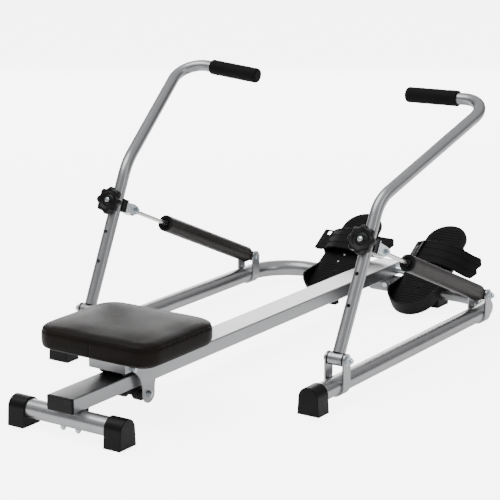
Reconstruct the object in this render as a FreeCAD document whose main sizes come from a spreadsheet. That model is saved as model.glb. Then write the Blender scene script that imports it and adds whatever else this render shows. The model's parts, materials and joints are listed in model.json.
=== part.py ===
"""Hydraulic rowing machine: a low rail with a rolling seat, a U-shaped outrigger frame, two swinging
levers with adjustable oil dampers, and a pair of tilting foot plates.

+X is the rower's right, +Y points from the seat to the foot plates, +Z is up.  The origin lies on the
floor under the middle of the machine.  All lengths are in millimetres.
"""
import FreeCAD, Part
import math
import os

import Sketcher
from FreeCAD import Placement, Rotation, Vector

# ---------------------------------------------------------------- driving dimensions
# Distances along Y are measured from the axis of the rear stabiliser; "mid_length" moves them to the origin.
DRIVING = [
    ("mid_length", 703.815, "rear stabiliser axis to the middle of the machine"),
    ("tube_r", 21.0, "radius of the round frame tubes"),
    ("tube_wall", 2.0, "wall of the round frame tubes"),
    ("tube_z", 38.5, "height of the round frame tubes' axes"),
    ("rail_w", 68.0, "rail width"),
    ("rail_high", 33.0, "rail height"),
    ("rail_wall", 2.0, "rail wall"),
    ("rail_back", -29.0, "rear end of the rail tube"),
    ("rail_front", 1338.0, "front end of the rail tube"),
    ("rail_cap", 6.0, "thickness of the plug's visible flange"),
    ("stabiliser_half", 151.0, "middle to the outer face of a rear foot"),
    ("foot_long", 44.0, "length of a foot cap over the tube"),
    ("foot_w", 55.0, "width of a foot cap at the floor"),
    ("foot_top_r", 25.0, "radius of the arched top of a foot cap"),
    ("foot_end", 5.0, "thickness of a foot cap's closed end"),
    ("arm_x", 347.0, "half distance between the two arms"),
    ("arm_back", 374.0, "rear face of the arm's foot cap"),
    ("cross_y", 1305.0, "axis of the front cross tube"),
    ("bend_r", 125.0, "bend radius of the front corners"),
    ("front_foot_x", 160.0, "half distance between the front feet"),
    ("front_foot_w", 40.0, "front foot, across the machine"),
    ("front_foot_deep", 62.0, "front foot, along the machine"),
    ("strap_thick", 4.0, "steel of the U-shaped brackets"),
    ("strap_w", 30.0, "width of the U-shaped brackets"),
    ("pivot_y", 496.0, "lever pivot"),
    ("pivot_z", 97.0, "lever pivot height"),
    ("anchor_y", 1178.0, "damper anchor"),
    ("anchor_z", 88.0, "damper anchor height"),
    ("bolt_r", 5.0, "radius of the pivot and roller bolts"),
    ("running", 0.08, "radial clearance of a running fit"),
    ("hub_r", 15.0, "lever hub tube"),
    ("hub_bore_r", 11.0, "bore of the lever hub tube"),
    ("hub_half", 17.5, "half length of the lever hub tube"),
    ("bush_flange", 3.0, "flange of a hub bush"),
    ("lever_r", 14.3, "lever tube radius"),
    ("lever_wall", 1.8, "lever tube wall"),
    ("lean_left", 25.0, "forward lean of the left lever, degrees"),
    ("lean_right", 28.0, "forward lean of the right lever, degrees"),
    ("lower_long", 368.0, "pivot to the lever's first bend"),
    ("upper_out", 89.0, "first to second bend, outwards"),
    ("upper_forward", 242.0, "first to second bend, square to the lower section"),
    ("upper_rise", 330.0, "first to second bend, along the lower section"),
    ("lower_bend_r", 95.0, "radius of the first bend"),
    ("upper_bend_r", 60.0, "radius of the second bend"),
    ("handle_in", 227.0, "second bend to the end of the tube, inwards"),
    ("grip_long", 136.0, "grip length over the tube"),
    ("grip_r", 19.0, "grip radius"),
    ("grip_end", 4.0, "closed end of the grip"),
    ("hole_pitch", 73.5, "pitch of the resistance holes"),
    ("knob_rise", 265.0, "pivot to the knob, along the lever"),
    ("hole_r", 4.5, "resistance hole radius"),
    ("stud_r", 4.0, "knob stud and clevis pin radius"),
    ("pin_forward", 58.0, "lever axis to the clevis pin"),
    ("clevis_half_w", 19.0, "half width of the clevis"),
    ("clevis_half", 15.5, "half height of the clevis and its ears"),
    ("damper_r", 20.6, "damper cylinder radius"),
    ("damper_bore_r", 18.0, "damper cylinder bore"),
    ("damper_long", 408.0, "anchor to the end of the damper cylinder"),
    ("rod_r", 5.0, "piston rod radius"),
    ("rod_long", 350.0, "clevis pin to the piston"),
    ("slot_half", 11.0, "half height of the slot in the rod eye"),
    ("seat_w", 310.0, "seat cushion width"),
    ("seat_deep", 264.0, "seat cushion depth"),
    ("seat_high", 54.0, "seat cushion height"),
    ("seat_corner_r", 50.0, "corner radius of the seat cushion"),
    ("seat_y", 196.0, "middle of the seat cushion"),
    ("carriage_y", 207.0, "middle of the seat carriage"),
    ("carriage_long", 166.0, "seat carriage length"),
    ("carriage_half_w", 49.0, "half width of the seat carriage"),
    ("carriage_top", 142.5, "height of the carriage's top face"),
    ("sheet_thick", 3.0, "steel of the seat carriage"),
    ("board_thick", 5.0, "seat board"),
    ("upper_roller_r", 20.0, "upper rollers"),
    ("lower_roller_r", 18.0, "lower roller"),
    ("roller_half", 30.0, "half width of the rollers"),
    ("roller_spread", 55.0, "carriage middle to an upper roller"),
    ("axle_y", 1311.8, "pedal axle"),
    ("axle_z", 76.0, "pedal axle height"),
    ("axle_r", 8.0, "pedal axle radius"),
    ("pedal_x", 128.5, "rail middle to a pedal's middle"),
    ("pedal_tilt", 33.6, "slope of the foot plates, degrees"),
    ("pedal_shift", 7.0, "both pedals, moved along their axle to the right"),
    ("toe_half", 57.0, "half width and end radius of the foot plate at the toe"),
    ("heel_half", 65.0, "half width and end radius of the foot plate at the heel"),
    ("pedal_heel", 152.6, "axle to the heel end"),
    ("pedal_toe", 164.0, "axle to the toe end"),
    ("sole_low", 10.4, "axle to the underside of the foot plate"),
    ("sole_thick", 7.0, "foot plate thickness"),
    ("cup_high", 31.6, "height of the heel cup above the foot plate"),
    ("strap_start", 8.0, "axle to the rear edge of the instep strap"),
    ("strap_wide", 76.0, "instep strap width"),
    ("band_thick", 3.5, "rubber of the instep strap"),
    ("stop_front_y", 1045.0, "middle of the front seat stop"),
    ("stop_rear_y", 36.0, "middle of the rear seat stop"),
    ("grip_drop_left", 17.0, "fall of the left handle over its length"),
    ("grip_drop_right", 2.0, "fall of the right handle over its length"),
]

doc = FreeCAD.newDocument("rowing_machine")
sheet = doc.addObject("Spreadsheet::Sheet", "Sizes")
for row, (alias, value, note) in enumerate(DRIVING, start=1):
    sheet.set(f"A{row}", note)
    sheet.set(f"B{row}", str(value))
    sheet.setAlias(f"B{row}", alias)
doc.recompute()

X, Y, Z = Vector(1, 0, 0), Vector(0, 1, 0), Vector(0, 0, 1)
ALONG_X = Rotation(Z, X)
ALONG_Y = Rotation(Z, Y)
NODES = []


def size(alias):
    """Value of one driving dimension."""
    return float(getattr(sheet, alias))


def at(x, y, z):
    """Point in the machine's frame from a distance ahead of the rear stabiliser."""
    return Vector(x, y - size("mid_length"), z)


def cell(text):
    """Expression on the sheet: every alias in the text gets the sheet's name."""
    known = {alias for alias, _, _ in DRIVING}
    return " ".join(f"Sizes.{word}" if word in known else word for word in text.split())


def node(obj, name, placement=None):
    """Make an object one of the exported sub-parts."""
    obj.Label = name
    if placement is not None:
        obj.Placement = placement
    NODES.append(obj)
    return obj


# ---------------------------------------------------------------- solids with sizes bound to the sheet
def rod(radius, length, base=Vector(), axis=Z):
    """Cylinder from its base point along an axis."""
    solid = doc.addObject("Part::Cylinder", "Cylinder")
    solid.setExpression("Radius", cell(radius))
    solid.setExpression("Height", cell(length))
    solid.Placement = Placement(base, Rotation(Z, axis))
    return solid


def bar(radius, half_length, middle=Vector(), axis=X):
    """Cylinder centred on a point."""
    solid = rod(radius, f"2 * ( {half_length} )", middle, axis)
    doc.recompute()
    solid.Placement.Base = middle - axis * (solid.Height.Value / 2)
    return solid


def block(width, depth, height, middle=Vector()):
    """Box centred on a point."""
    solid = doc.addObject("Part::Box", "Box")
    solid.setExpression("Length", cell(width))
    solid.setExpression("Width", cell(depth))
    solid.setExpression("Height", cell(height))
    doc.recompute()
    half = Vector(solid.Length.Value, solid.Width.Value, solid.Height.Value) / 2
    solid.Placement.Base = middle - half
    return solid


def hexagon(radius, height, base=Vector(), axis=Z):
    """Six-sided prism from its base point along an axis."""
    solid = doc.addObject("Part::Prism", "Prism")
    solid.Polygon = 6
    solid.setExpression("Circumradius", cell(radius))
    solid.setExpression("Height", cell(height))
    solid.Placement = Placement(base, Rotation(Z, axis))
    return solid


def fuse(*solids):
    """Union of solids."""
    union = doc.addObject("Part::MultiFuse", "Fusion")
    union.Shapes = list(solids)
    union.Refine = True
    return union


def cut(base, *tools):
    """Base solid with every tool taken away."""
    for tool in tools:
        result = doc.addObject("Part::Cut", "Cut")
        result.Base = base
        result.Tool = tool
        base = result
    return base


def group(*solids):
    """Separate solids kept in one sub-part."""
    compound = doc.addObject("Part::Compound", "Group")
    compound.Links = list(solids)
    return compound


def rounded(base, radius, chosen):
    """Solid with a fillet on every edge that the test chooses."""
    doc.recompute()
    fillet = doc.addObject("Part::Fillet", "Fillet")
    fillet.Base = base
    fillet.Edges = [(i, radius, radius) for i, edge in enumerate(base.Shape.Edges, start=1) if chosen(edge)]
    return fillet


# ---------------------------------------------------------------- sketched bodies
def new_body(name):
    """Empty PartDesign body."""
    return doc.addObject("PartDesign::Body", name)


def sketch(body, role, name, offset=0.0):
    """Sketch on one of the body's own origin planes."""
    plane = next(item for item in body.Origin.OriginFeatures if item.Role == role)
    drawing = body.newObject("Sketcher::SketchObject", name)
    drawing.AttachmentSupport = [(plane, "")]
    drawing.MapMode = "FlatFace"
    drawing.AttachmentOffset = Placement(Vector(0, 0, offset), Rotation())
    return drawing


def bind(drawing, constraint, expression):
    """Add a sized constraint and tie it to the sheet."""
    index = drawing.addConstraint(constraint)
    drawing.setExpression(f"Constraints[{index}]", cell(expression))


def add_rectangle(drawing, width, height):
    """Rectangle centred on the sketch origin."""
    first = drawing.GeometryCount
    corners = [Vector(-9, -9, 0), Vector(9, -9, 0), Vector(9, 9, 0), Vector(-9, 9, 0)]
    for i in range(4):
        drawing.addGeometry(Part.LineSegment(corners[i], corners[(i + 1) % 4]))
    for i in range(4):
        following = first + (i + 1) % 4
        drawing.addConstraint(Sketcher.Constraint("Coincident", first + i, 2, following, 1))
        direction = "Horizontal" if i % 2 == 0 else "Vertical"
        drawing.addConstraint(Sketcher.Constraint(direction, first + i))
    drawing.addConstraint(Sketcher.Constraint("Symmetric", first, 1, first + 2, 1, -1, 1))
    bind(drawing, Sketcher.Constraint("DistanceX", first, 1, first, 2, 18), width)
    bind(drawing, Sketcher.Constraint("DistanceY", first + 1, 1, first + 1, 2, 18), height)


def add_circle(drawing, radius, centre=Vector()):
    """Circle whose radius is tied to the sheet."""
    index = drawing.addGeometry(Part.Circle(centre, Z, 5))
    bind(drawing, Sketcher.Constraint("Radius", index, 5), radius)
    drawing.addConstraint(Sketcher.Constraint("DistanceX", index, 3, centre.x))
    drawing.addConstraint(Sketcher.Constraint("DistanceY", index, 3, centre.y))


def add_outline(drawing, steps):
    """Closed outline from points; a step (through, end) is an arc, a lone point is a straight side."""
    start = steps[-1] if isinstance(steps[-1], Vector) else steps[-1][1]
    for step in steps:
        if isinstance(step, Vector):
            drawing.addGeometry(Part.LineSegment(start, step))
            start = step
        else:
            through, end = step
            drawing.addGeometry(Part.Arc(start, through, end))
            start = end


def pad(body, drawing, length, reverse=False):
    """Extrude a sketch by a length from the sheet."""
    feature = body.newObject("PartDesign::Pad", "Pad")
    feature.Profile = drawing
    feature.setExpression("Length", cell(length))
    feature.Reversed = reverse
    drawing.Visibility = False
    return feature


def pocket(body, drawing, length):
    """Cut a sketch into the body towards +Z and prove that it took material away."""
    doc.recompute()
    before = body.Shape.Volume
    feature = body.newObject("PartDesign::Pocket", "Pocket")
    feature.Profile = drawing
    feature.setExpression("Length", cell(length))
    feature.Reversed = True
    doc.recompute()
    assert body.Shape.Volume < before - 1.0, f"{body.Name}: the pocket cuts nothing"
    return feature


def body_fillet(body, radius, chosen):
    """Fillet the body's chosen edges."""
    doc.recompute()
    tip = body.Tip
    names = [f"Edge{i}" for i, edge in enumerate(tip.Shape.Edges, start=1) if chosen(edge)]
    feature = body.newObject("PartDesign::Fillet", "Fillet")
    feature.Base = (tip, names)
    feature.Radius = radius
    return feature


def edge_height(edge):
    """Height of a level edge, or None when the edge isn't level."""
    box = edge.BoundBox
    return box.ZMin if box.ZLength < 1e-6 else None


# ---------------------------------------------------------------- rail, stabiliser and their feet
def make_rail():
    """Box-section rail with its bolt holes and the cross hole for the pedal axle."""
    body = new_body("RailTube")
    section = sketch(body, "XY_Plane", "RailSection")
    add_rectangle(section, "rail_w", "rail_high")
    add_rectangle(section, "rail_w - 2 * rail_wall", "rail_high - 2 * rail_wall")
    pad(body, section, "rail_front - rail_back")
    body_fillet(body, 3.0, lambda edge: edge.BoundBox.ZLength > 100
                and abs(edge.BoundBox.XMin) > size("rail_w") / 2 - 0.1)
    body.Placement = Placement(at(0, size("rail_back"), rail_middle()), ALONG_Y)
    holes = [rod("stud_r", "10", at(x, 0, rail_bottom() - 4)) for x in (-20, 20)]
    holes.append(bar("axle_r", "rail_w", at(0, size("axle_y"), size("axle_z")), X))
    node(cut(body, *holes), "main_rail")


def rail_bottom():
    return size("tube_z") + size("tube_r")


def rail_middle():
    return rail_bottom() + size("rail_high") / 2


def make_rail_cap(name, y, turn):
    """Plastic plug: a flange with softened edges and a tongue that fills the rail."""
    body = new_body("RailCap")
    flange = sketch(body, "XY_Plane", "Flange")
    add_rectangle(flange, "rail_w", "rail_high")
    pad(body, flange, "rail_cap")
    body_fillet(body, 2.4, lambda edge: edge_height(edge) is None or edge_height(edge) > 1)
    tongue = sketch(body, "XY_Plane", "Tongue")
    add_rectangle(tongue, "rail_w - 2 * rail_wall - 3", "rail_high - 2 * rail_wall - 3")
    pad(body, tongue, "18", reverse=True)
    return node(body, name, Placement(at(0, y, rail_middle()), Rotation(X, turn)))


def make_foot(name, base, rotation):
    """Foot cap with a flat base, leaning sides and an arched top, bored for the tube."""
    body = new_body("Foot")
    outline = sketch(body, "XY_Plane", "Arch")
    radius = size("foot_top_r")
    base_half = size("foot_w") / 2
    floor = -size("tube_z")
    add_outline(outline, [
        Vector(-base_half, floor, 0),
        Vector(base_half, floor, 0),
        Vector(radius, 0, 0),
        (Vector(0, radius, 0), Vector(-radius, 0, 0)),
    ])
    pad(body, outline, "foot_long")
    body_fillet(body, 2.5, lambda edge: edge_height(edge) is not None and edge_height(edge) > 1)
    bore = sketch(body, "XY_Plane", "Bore")
    add_circle(bore, "tube_r")
    pocket(body, bore, "foot_long - foot_end")
    return node(body, name, Placement(base, rotation))


def tube(half_length, middle, axis):
    """Round frame tube."""
    outer = bar("tube_r", half_length, middle, axis)
    inner = bar("tube_r - tube_wall", half_length, middle, axis)
    return cut(outer, inner)


def nut(base, axis):
    """Hex nut on a bolt of the stud's radius."""
    return cut(hexagon("stud_r * 1.75", "6", base, axis), rod("stud_r", "6", base, axis))


def make_rear_end():
    """Stabiliser tube, its two feet and the two bolts that hold the rail down on it."""
    middle = at(0, 0, size("tube_z"))
    holes = [rod("stud_r", "60", at(x, 0, 0)) for x in (-20, 20)]
    node(cut(tube("stabiliser_half - foot_end", middle, X), *holes), "rear_stabiliser")
    reach = size("stabiliser_half") - size("foot_long")
    sideways = Rotation(Vector(1, 1, 1), 120)
    make_foot("rear_foot_right", at(reach, 0, size("tube_z")), sideways)
    make_foot("rear_foot_left", at(-reach, 0, size("tube_z")), Rotation(Z, 180) * sideways)
    pieces = []
    seat_z = rail_bottom() + size("rail_wall")
    for x in (-20, 20):
        shank = rod("stud_r", "53.5", at(x, 0, seat_z), -Z)
        head = rod("stud_r * 1.9", "3.5", at(x, 0, seat_z))
        pieces.append(fuse(shank, head))
        pieces.append(nut(at(x, 0, size("tube_z") - size("tube_r")), -Z))
    node(group(*pieces), "rear_mount_bolts")


def make_u_frame():
    """Two straight arms, the bent front tube and their feet."""
    back = size("arm_back") + size("foot_end")
    front = size("cross_y") - size("bend_r")
    for name, x in (("left", -size("arm_x")), ("right", size("arm_x"))):
        middle = at(x, (back + front) / 2, size("tube_z"))
        node(tube("( cross_y - bend_r - arm_back - foot_end ) / 2", middle, Y), f"arm_{name}")
        mouth = at(x, size("arm_back") + size("foot_long"), size("tube_z"))
        make_foot(f"arm_foot_{name}", mouth, Rotation(X, 90))

    body = new_body("FrontCross")
    path = sketch(body, "XY_Plane", "Path")
    side, bend = size("arm_x"), size("bend_r")
    corner = bend * (1 - math.sqrt(0.5))
    path.addGeometry(Part.Arc(Vector(-side, -bend, 0), Vector(corner - side, -corner, 0),
                              Vector(bend - side, 0, 0)))
    path.addGeometry(Part.LineSegment(Vector(bend - side, 0, 0), Vector(side - bend, 0, 0)))
    path.addGeometry(Part.Arc(Vector(side - bend, 0, 0), Vector(side - corner, -corner, 0),
                              Vector(side, -bend, 0)))
    ring = sketch(body, "XZ_Plane", "Ring", bend)
    add_circle(ring, "tube_r", Vector(-side, 0, 0))
    add_circle(ring, "tube_r - tube_wall", Vector(-side, 0, 0))
    pipe = body.newObject("PartDesign::AdditivePipe", "Pipe")
    pipe.Profile = ring
    pipe.Spine = (path, ["Edge1", "Edge2", "Edge3"])
    body.Placement = Placement(at(0, size("cross_y"), size("tube_z")), Rotation())
    holes = [bar("stud_r", "30", at(x, size("cross_y"), size("tube_z")), Y) for x in (-20, 20)]
    node(cut(body, *holes), "front_cross")

    feet = []
    for x in (-size("front_foot_x"), size("front_foot_x")):
        low = block("front_foot_w", "front_foot_deep", "34", at(x, size("cross_y"), 17))
        foot = rounded(low, 5.0, lambda edge: edge.BoundBox.ZLength > 30)
        groove = bar("tube_r", "front_foot_w", at(x, size("cross_y"), size("tube_z")), X)
        feet.append(cut(foot, groove))
    node(group(*feet), "front_feet")


def make_front_saddle():
    """Formed plate under the rail that hugs the rear of the cross tube, with its two bolts."""
    middle = at(0, size("cross_y"), size("tube_z"))
    outer = bar("tube_r + 3", "rail_w / 2 - 2", middle, X)
    inner = bar("tube_r", "rail_w", middle, X)
    ahead = block("rail_w * 2", "60", "80", middle + Vector(0, 30, 0))
    above = block("rail_w * 2", "80", "20", at(0, size("cross_y"), rail_bottom() + 10))
    web = block("4", "46", "14", at(0, size("cross_y") - 42, rail_bottom() - 7))
    holes = [bar("stud_r", "40", middle + Vector(x, 0, 0), Y) for x in (-20, 20)]
    node(cut(fuse(cut(outer, ahead, above), cut(web, rod_clear())), inner, *holes), "front_saddle")
    pieces = []
    for x in (-20, 20):
        seat_y = size("cross_y") - size("tube_r") - 3
        start = at(x, seat_y, size("tube_z"))
        pieces.append(fuse(rod("stud_r", "55", start, Y), hexagon("stud_r * 1.75", "5.5", start, -Y)))
        pieces.append(nut(at(x, size("cross_y") + size("tube_r"), size("tube_z")), Y))
    node(group(*pieces), "front_mount_bolts")


def rod_clear():
    """Scoop that shapes the lower edge of the saddle's web."""
    return bar("22", "10", at(0, size("cross_y") - 66, rail_bottom() - 20), X)


# ---------------------------------------------------------------- brackets on the arms
def make_strap_bracket(name, x, y, pin_z, ear_r):
    """Steel strap that hugs the arm from below and stands up as two ears with a cross hole."""
    arm = at(x, y, size("tube_z"))
    pin = at(x, y, pin_z)
    width = "strap_w / 2"
    ring = cut(bar("tube_r + strap_thick", width, arm, Y), bar("tube_r", width, arm, Y),
               block("90", "strap_w + 2", "60", arm + Vector(0, 0, 30)))
    pieces = [ring]
    for side in (-1, 1):
        plate_x = side * (size("tube_r") + size("strap_thick") / 2)
        rise = pin_z - size("tube_z")
        pieces.append(block("strap_thick", "strap_w", str(rise), arm + Vector(plate_x, 0, rise / 2)))
        pieces.append(bar(str(ear_r), "strap_thick / 2", pin + Vector(plate_x, 0, 0), X))
    node(cut(fuse(*pieces), bar("bolt_r", "40", pin, X)), name)


def pivot_bolt(pin, side):
    """Hex bolt through both ears with a washer and nut on the outside."""
    grip = size("tube_r") + size("strap_thick")
    head = pin - X * side * grip
    tail = pin + X * side * grip
    bolt = fuse(rod("bolt_r", "2 * ( tube_r + strap_thick ) + 14", head, X * side),
                hexagon("bolt_r * 1.75", "6", head, X * -side))
    washer = cut(rod("bolt_r * 2.1", "1.6", tail, X * side), rod("bolt_r", "1.6", tail, X * side))
    nut_base = tail + X * side * 1.6
    lock_nut = cut(hexagon("bolt_r * 1.75", "8", nut_base, X * side), rod("bolt_r", "8", nut_base, X * side))
    return [bolt, washer, lock_nut]


def make_brackets():
    pivots, anchors = [], []
    for name, side in (("left", -1), ("right", 1)):
        x = side * size("arm_x")
        make_strap_bracket(f"pivot_bracket_{name}", x, size("pivot_y"), size("pivot_z"), 15)
        make_strap_bracket(f"damper_bracket_{name}", x, size("anchor_y"), size("anchor_z"), 15)
        pivots += pivot_bolt(at(x, size("pivot_y"), size("pivot_z")), side)
        anchors += pivot_bolt(at(x, size("anchor_y"), size("anchor_z")), side)
    node(group(*pivots), "pivot_bolts")
    node(group(*anchors), "damper_bolts")


def make_seat_stops():
    """Rubber blocks under the rail that end the seat's travel."""
    stops = []
    for y in (size("stop_rear_y"), size("stop_front_y")):
        body = block("28", "20", "20", at(0, y, rail_bottom() - 10))
        stops.append(rounded(body, 3.0, lambda edge: edge.BoundBox.ZLength > 10))
    node(group(*stops), "seat_stops")


# ---------------------------------------------------------------- rolling seat
def make_seat():
    top = size("carriage_top")
    board = block("272", "224", "board_thick", at(0, size("seat_y"), top + size("board_thick") / 2))
    node(rounded(board, 30.0, lambda edge: abs(edge.BoundBox.ZLength - size("board_thick")) < 1e-6
                 and edge.BoundBox.XLength < 1e-6), "seat_board")

    body = new_body("Cushion")
    outline = sketch(body, "XY_Plane", "CushionOutline")
    add_rectangle(outline, "seat_w", "seat_deep")
    pad(body, outline, "seat_high")
    body_fillet(body, size("seat_corner_r"), lambda edge: edge_height(edge) is None)
    body_fillet(body, 14.0, lambda edge: (edge_height(edge) or 0) > 1)
    body_fillet(body, 6.0, lambda edge: edge_height(edge) == 0)
    node(body, "seat_cushion", Placement(at(0, size("seat_y"), top + size("board_thick")), Rotation()))


def roller_heights():
    """Axle heights of the upper and the lower rollers, each 0.3 mm clear of the rail."""
    upper = rail_bottom() + size("rail_high") + 0.3 + size("upper_roller_r")
    lower = rail_bottom() - 0.3 - size("lower_roller_r")
    return upper, lower


def make_carriage():
    """Bent steel saddle: top plate, two end flanges and two side plates that taper to the lower axle."""
    top = size("carriage_top")
    half_long = size("carriage_long") / 2
    upper_z, lower_z = roller_heights()
    skirt = top - 35
    tip_r = 20.0
    middle_y = size("carriage_y")

    body = new_body("SidePlates")
    plate = sketch(body, "YZ_Plane", "SidePlate", -size("carriage_half_w"))
    add_outline(plate, [
        Vector(half_long, top, 0),
        Vector(-half_long, top, 0),
        Vector(-half_long, skirt, 0),
        Vector(-60, skirt, 0),
        (Vector(-31, skirt - 24, 0), Vector(-tip_r, lower_z + 4, 0)),
        (Vector(0, lower_z - tip_r, 0), Vector(tip_r, lower_z + 4, 0)),
        (Vector(31, skirt - 24, 0), Vector(60, skirt, 0)),
        Vector(half_long, skirt, 0),
    ])
    pad(body, plate, "2 * carriage_half_w")
    body.Placement = Placement(at(0, middle_y, 0), Rotation())
    doc.recompute()
    inside = block("2 * ( carriage_half_w - sheet_thick )", "carriage_long - 2 * sheet_thick", "200",
                   at(0, middle_y, top - size("sheet_thick") - 100))
    low_gap = block("2 * ( carriage_half_w - sheet_thick )", "300", "200", at(0, middle_y, skirt - 100))
    holes = [bar("bolt_r", "60", at(0, middle_y + y, z), X) for y, z in roller_centres()]
    screws = [rod("3", "20", at(x, middle_y + y, top - 10)) for x in (-30, 30) for y in (-22, 22)]
    node(cut(body, inside, low_gap, *holes, *screws), "seat_carriage")

    axles = []
    for y, z in roller_centres():
        head = at(-size("carriage_half_w"), middle_y + y, z)
        tail = at(size("carriage_half_w"), middle_y + y, z)
        axles.append(fuse(rod("bolt_r", "2 * carriage_half_w + 8", head, X),
                          hexagon("bolt_r * 1.6", "5", head, -X)))
        axles.append(cut(hexagon("bolt_r * 1.6", "6", tail, X), rod("bolt_r", "6", tail, X)))
    node(group(*axles), "roller_axles")

    heads = []
    for x in (-30, 30):
        for y in (-22, 22):
            seat = at(x, middle_y + y, top - size("sheet_thick"))
            heads.append(fuse(rod("3", "sheet_thick + board_thick", seat), rod("5.5", "3", seat, -Z)))
    node(group(*heads), "seat_screws")


def roller_centres():
    """(distance from the carriage's middle, height) of the three axles."""
    upper_z, lower_z = roller_heights()
    spread = size("roller_spread")
    return [(-spread, upper_z), (spread, upper_z), (0, lower_z)]


def make_rollers():
    """Two drums on top of the rail and one waisted roller below it."""
    names = ("roller_rear", "roller_front", "roller_lower")
    for name, (y, z) in zip(names, roller_centres()):
        middle = at(0, size("carriage_y") + y, z)
        bore = bar("bolt_r + running", "roller_half + 1", middle, X)
        if name == "roller_lower":
            rims = [bar("lower_roller_r", "8", middle + Vector(x, 0, 0), X) for x in (-22, 22)]
            drum = fuse(bar("11", "roller_half", middle, X), *rims)
        else:
            groove = cut(bar("upper_roller_r + 1", "4", middle, X), bar("upper_roller_r - 3", "4", middle, X))
            drum = cut(bar("upper_roller_r", "roller_half", middle, X), groove)
        node(cut(drum, bore), name)


# ---------------------------------------------------------------- levers
def bent_path(points, radii):
    """Wire through the corner points with a tangent arc at every inner corner."""
    edges = []
    start = points[0]
    for before, corner, after, radius in zip(points, points[1:], points[2:], radii):
        back = (before - corner).normalize()
        ahead = (after - corner).normalize()
        half = back.getAngle(ahead) / 2
        leg = radius / math.tan(half)
        middle = corner + (back + ahead).normalize() * (radius / math.sin(half) - radius)
        edges.append(Part.LineSegment(start, corner + back * leg).toShape())
        edges.append(Part.Arc(corner + back * leg, middle, corner + ahead * leg).toShape())
        start = corner + ahead * leg
    edges.append(Part.LineSegment(start, points[-1]).toShape())
    return Part.Wire(edges)


def sweep(spine, radius, start):
    """Round bar along a spine that leaves its first point towards +Z."""
    profile = doc.addObject("Part::Circle", "Circle")
    profile.setExpression("Radius", cell(radius))
    profile.Placement = Placement(start, Rotation())
    solid = doc.addObject("Part::Sweep", "Sweep")
    solid.Sections = [profile]
    solid.Spine = (spine, [f"Edge{i}" for i in range(1, len(spine.Shape.Edges) + 1)])
    solid.Solid = True
    return solid


def lever_corners(name, side):
    """Corner points of a lever's axis in its own frame: X outwards, Z along the lower section."""
    start = Vector(0, 0, size("hub_r") - 2)
    first = Vector(0, 0, size("lower_long"))
    second = first + Vector(side * size("upper_out"), size("upper_forward"), size("upper_rise"))
    end = second + Vector(-side * size("handle_in"), 8, -size(f"grip_drop_{name}"))
    return [start, first, second, end]


def make_lever(name, side, place):
    """Bent tube welded to a cross hub, with its bushes and grip."""
    corners = lever_corners(name, side)
    spine = doc.addObject("Part::Feature", "Axis")
    spine.Shape = bent_path(corners, (size("lower_bend_r"), size("upper_bend_r")))
    length = spine.Shape.Length
    outer = sweep(spine, "lever_r", corners[0])
    inner = sweep(spine, "lever_r - lever_wall", corners[0])
    doc.recompute()
    expected = math.pi * size("lever_r") ** 2 * length
    assert abs(outer.Shape.Volume / expected - 1) < 0.01, "lever sweep has the wrong volume"
    hub = bar("hub_r", "hub_half", Vector(), X)
    holes = [bar("hole_r", "lever_r + 2", Vector(0, 0, size("knob_rise") - i * size("hole_pitch")), Y)
             for i in range(3)]
    blank = fuse(cut(outer, inner, *holes), hub)
    node(cut(blank, bar("hub_bore_r", "hub_half + 1", Vector(), X)), f"lever_{name}", place)

    bushes = []
    for end in (-1, 1):
        face = X * end * size("hub_half")
        sleeve = fuse(rod("hub_bore_r", "14", face, X * -end), rod("hub_r - 1", "bush_flange", face, X * end))
        bushes.append(cut(sleeve, bar("bolt_r + running", "40", Vector(), X)))
    node(group(*bushes), f"lever_bushes_{name}", place)

    inward = (corners[3] - corners[2]).normalize()
    mouth = corners[3] - inward * size("grip_long")
    sleeve = rod("grip_r", "grip_long + grip_end", mouth, inward)
    node(cut(sleeve, rod("lever_r", "grip_long", mouth, inward)), f"grip_{name}", place)


def make_clevis(name, place):
    """Plastic saddle, steel clevis and its pin on the front of the lever at the chosen hole."""
    level = Vector(0, 0, size("knob_rise"))
    saddle = block("34", "15", "2 * clevis_half", level + Vector(0, 11.5, 0))
    tube_gap = rod("lever_r", "80", level - Z * 40)
    node(cut(saddle, tube_gap, bar("hole_r", "40", level, Y)), f"clevis_saddle_{name}", place)

    base_y = 19.0
    pin_y = size("pin_forward")
    plate = block("2 * clevis_half_w", "3", "2 * clevis_half", level + Vector(0, base_y + 1.5, 0))
    pieces = [plate]
    pin = level + Vector(0, pin_y, 0)
    for side in (-1, 1):
        ear_x = side * (size("clevis_half_w") - 1.5)
        middle = level + Vector(ear_x, (base_y + pin_y) / 2, 0)
        pieces.append(block("3", str(pin_y - base_y), "22", middle))
        pieces.append(bar("11", "1.5", pin + Vector(ear_x, 0, 0), X))
    clevis = cut(fuse(*pieces), bar("stud_r", "40", pin, X))
    node(cut(clevis, bar("stud_r + running", "30", level, Y)), f"clevis_{name}", place)

    head = pin - X * size("clevis_half_w")
    tail = pin + X * size("clevis_half_w")
    bolt = fuse(rod("stud_r", "2 * clevis_half_w + 7", head, X), hexagon("stud_r * 1.75", "4.5", head, -X))
    node(group(bolt, nut(tail, X)), f"clevis_pin_{name}", place)


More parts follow.
